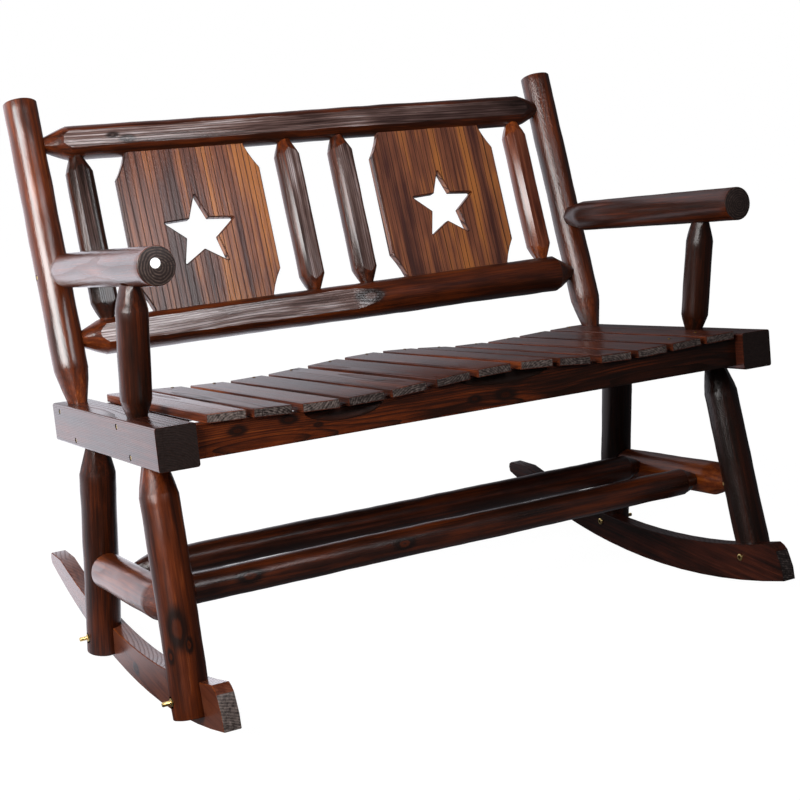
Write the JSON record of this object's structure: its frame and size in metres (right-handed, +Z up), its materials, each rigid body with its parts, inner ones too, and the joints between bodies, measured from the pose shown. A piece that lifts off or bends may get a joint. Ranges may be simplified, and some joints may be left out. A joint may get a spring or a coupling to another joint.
{
  "type": "rocking bench",
  "caption": "Rustic two-seat rocking bench of round logs with a slatted wavy seat, star cut-out back panels, arms and curved rockers.",
  "frame": {"origin": "on the floor under the middle of the whole bench's outline, seen from above", "axes": "+X to the viewer's right along the bench, -Y the front that a sitter faces, +Z up"},
  "size_m": [1.1932, 0.8832, 0.9471],
  "materials": {
    "logs": "charred, brushed and oiled fir logs, dark red-brown, semi-gloss",
    "seat_boards": "charred and brushed boards worn to grey-brown on top, satin",
    "side_rails": "squared beams with rounded edges, grey-brown sides, satin",
    "bearers": "sawn boards, brown with dark wavy grain, satin",
    "panels": "brushed boards, orange-brown with dark upright grain, satin",
    "rockers": "sawn planks, grey-brown outside and near black inside, satin",
    "brass": "plain brass-coloured screws, bolts and nuts"
  },
  "bodies": {
    "root": {"seat_slat_01": "seat_boards", "seat_slat_02": "seat_boards", "seat_slat_03": "seat_boards", "seat_slat_04": "seat_boards", "seat_slat_05": "seat_boards", "seat_slat_06": "seat_boards", "seat_slat_07": "seat_boards", "seat_slat_08": "seat_boards", "seat_slat_09": "seat_boards", "seat_slat_10": "seat_boards", "seat_slat_11": "seat_boards", "seat_slat_12": "seat_boards", "seat_slat_13": "seat_boards", "front_bearer": "bearers", "rear_bearer": "bearers", "side_rail_left": "side_rails", "side_rail_right": "side_rails", "back_spindle_1": "logs", "back_spindle_2": "logs", "back_spindle_3": "logs", "back_spindle_4": "logs", "top_back_rail": "logs", "lower_back_rail": "logs", "long_stretcher_front": "logs", "long_stretcher_rear": "logs", "back_post_left": "logs", "arm_left": "logs", "arm_support_left": "logs", "front_leg_left": "logs", "rear_leg_left": "logs", "side_stretcher_left": "logs", "back_post_right": "logs", "arm_right": "logs", "arm_support_right": "logs", "front_leg_right": "logs", "rear_leg_right": "logs", "side_stretcher_right": "logs", "rocker_left": "rockers", "rocker_right": "rockers", "star_panel_left": "panels", "star_panel_right": "panels", "arm_screw_left": "brass", "front_bolt_left": "brass", "rear_bolt_left": "brass", "front_nut_left": "brass", "rear_nut_left": "brass", "rail_screw_left_rear_high": "brass", "rail_screw_left_rear_low": "brass", "rail_screw_left_front_high": "brass", "rail_screw_left_front_low": "brass", "arm_screw_right": "brass", "front_bolt_right": "brass", "rear_bolt_right": "brass", "front_nut_right": "brass", "rear_nut_right": "brass", "rail_screw_right_rear_high": "brass", "rail_screw_right_rear_low": "brass", "rail_screw_right_front_high": "brass", "rail_screw_right_front_low": "brass"}
  },
  "joints": []
}
